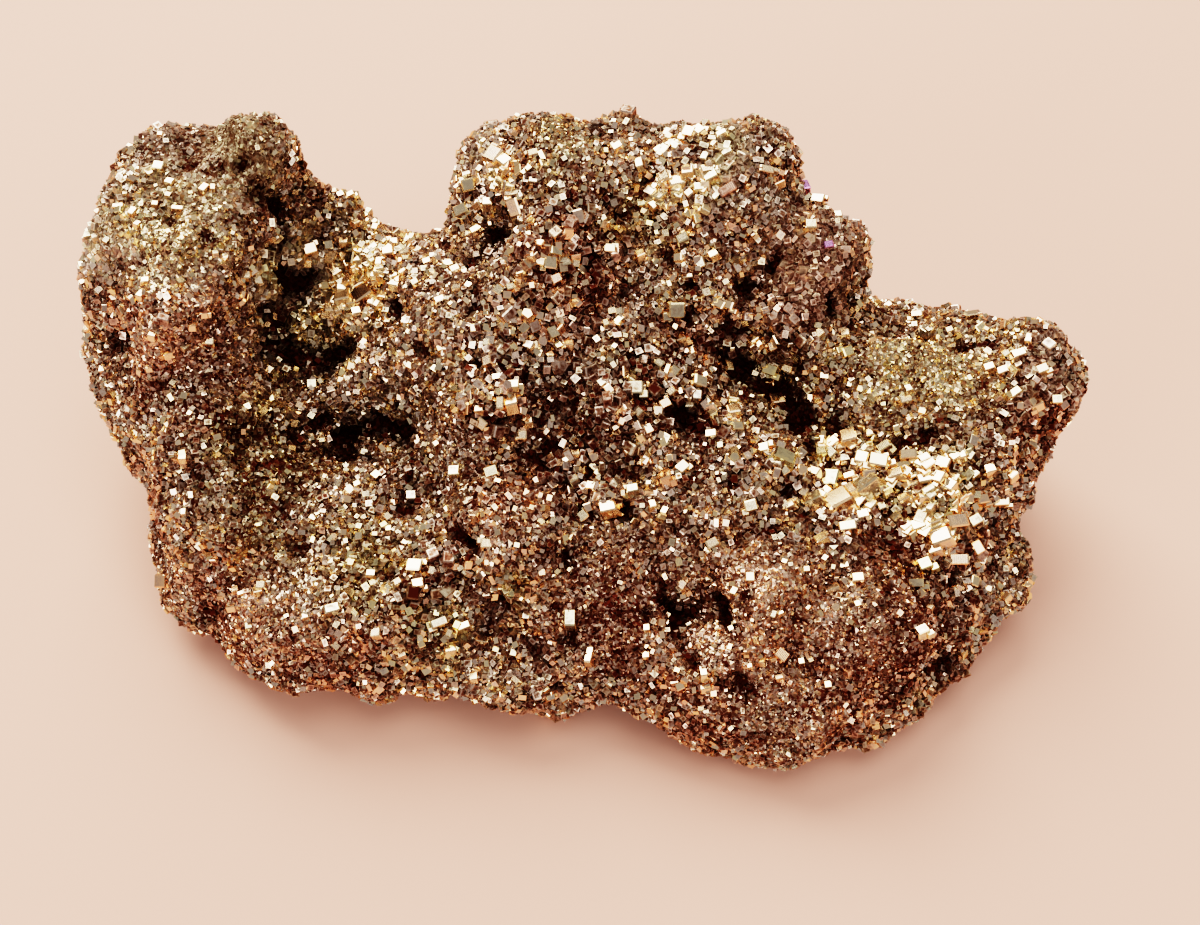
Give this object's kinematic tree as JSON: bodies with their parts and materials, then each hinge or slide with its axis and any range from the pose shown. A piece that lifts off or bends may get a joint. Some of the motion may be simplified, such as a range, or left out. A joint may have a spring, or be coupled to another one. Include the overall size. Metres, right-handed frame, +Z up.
{
  "type": "pyrite specimen",
  "caption": "Free-standing pyrite hand specimen: a wedge-shaped cluster of intergrown metallic crystals with a tall tower, a crown and a low wing.",
  "frame": {"origin": "middle of the bounding box, on the resting face", "axes": "+X along the length, from the tower towards the low wing; +Y from the low front lip to the high back; +Z up"},
  "size_m": [0.0864, 0.05, 0.035],
  "materials": {
    "pyrite": "metallic brass-yellow crystal crust, tarnished olive and reddish brown, near black in the pits"
  },
  "bodies": {
    "root": {"pyrite_cluster": "pyrite"}
  },
  "joints": []
}
